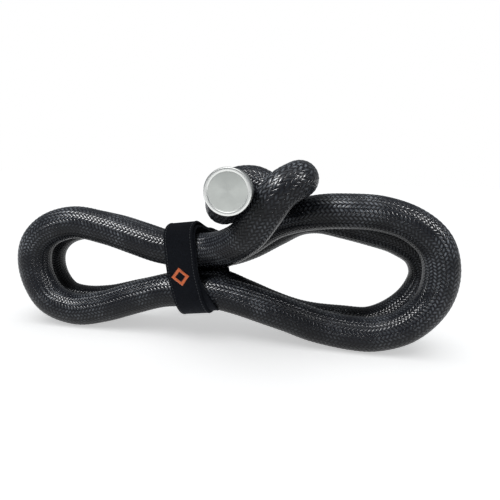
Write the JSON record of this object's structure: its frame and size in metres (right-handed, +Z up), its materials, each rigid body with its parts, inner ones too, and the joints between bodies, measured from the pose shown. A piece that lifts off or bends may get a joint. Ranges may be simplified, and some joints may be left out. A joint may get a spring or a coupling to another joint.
{
  "type": "power adapter dogbone",
  "caption": "Thick braided black cord wound into a pinched two-looped hank, with a turned metal cap on each end and a hook-and-loop strap at its waist.",
  "frame": {"origin": "on the surface the hank stands on, under the middle of its outline", "axes": "+X along the hank towards its larger loop, -Y towards the front and cap A, +Z up"},
  "size_m": [0.4094, 0.1699, 0.1614],
  "materials": {
    "braid": "fine black polyester braid with a slight gloss",
    "jacket": "matt black rubber jacket",
    "line_core": "black insulation",
    "neutral_core": "white insulation",
    "earth_core": "green insulation",
    "strength_yarn": "twisted aramid yarn",
    "cap_metal": "turned and satin brushed, bright rim",
    "shell_metal": "turned",
    "crimp_metal": "rolled band",
    "insert_plastic": "moulded insulator",
    "contact_metal": "bright brass",
    "seal_rubber": "matt",
    "strap_fabric": "brushed black pile tape",
    "hook_fabric": "moulded hooks",
    "thread": "sewing thread",
    "mark_thread": "woven orange thread"
  },
  "bodies": {
    "cord": {"braided_sleeve": "braid", "core_jacket": "jacket", "line_conductor": "line_core", "neutral_conductor": "neutral_core", "earth_conductor": "earth_core", "strength_cord": "strength_yarn", "shell_a": "shell_metal", "crimp_band_a": "crimp_metal", "contact_insert_a": "insert_plastic", "contact_pins_a": "contact_metal", "seal_ring_a": "seal_rubber", "shell_b": "shell_metal", "crimp_band_b": "crimp_metal", "contact_insert_b": "insert_plastic", "contact_sockets_b": "contact_metal", "seal_ring_b": "seal_rubber", "strap_band": "strap_fabric", "strap_overlap": "strap_fabric", "strap_loop_patch": "strap_fabric", "strap_stitching": "thread", "woven_mark": "mark_thread"},
    "liner_a": {"cap_liner_a": "seal_rubber"},
    "cap_a": {"cap_a": "cap_metal"},
    "liner_b": {"cap_liner_b": "seal_rubber"},
    "cap_b": {"cap_b": "cap_metal"},
    "tail": {"strap_tail": "strap_fabric", "strap_hook_patch": "hook_fabric", "tail_stitching": "thread"}
  },
  "joints": [
    {"name": "cap_a_travel", "type": "slide", "parent": "cord", "child": "liner_a", "axis": [0.1045, -0.9945, 0], "range_m": [0, 0.0201]},
    {"name": "cap_a_turn", "type": "hinge", "parent": "liner_a", "child": "cap_a", "pos_m": [0.0205, -0.0665, 0.137], "axis": [0.1045, -0.9945, 0], "range_deg": [0, 1800]},
    {"name": "cap_b_travel", "type": "slide", "parent": "cord", "child": "liner_b", "axis": [-1, 0, 0], "range_m": [0, 0.0201]},
    {"name": "cap_b_turn", "type": "hinge", "parent": "liner_b", "child": "cap_b", "pos_m": [-0.059, 0.0615, 0.067], "axis": [-1, 0, 0], "range_deg": [0, 1800]},
    {"name": "tail_peel", "type": "hinge", "parent": "cord", "child": "tail", "pos_m": [-0.03028, 0.04267, 0.09436], "axis": [0.9897, -0.0346, 0.1392], "range_deg": [0, 110]}
  ],
  "couplings": [
    {"joint": "cap_a_travel", "follows": "cap_a_turn", "m_per_rad": 0.00063662},
    {"joint": "cap_b_travel", "follows": "cap_b_turn", "m_per_rad": 0.00063662}
  ]
}
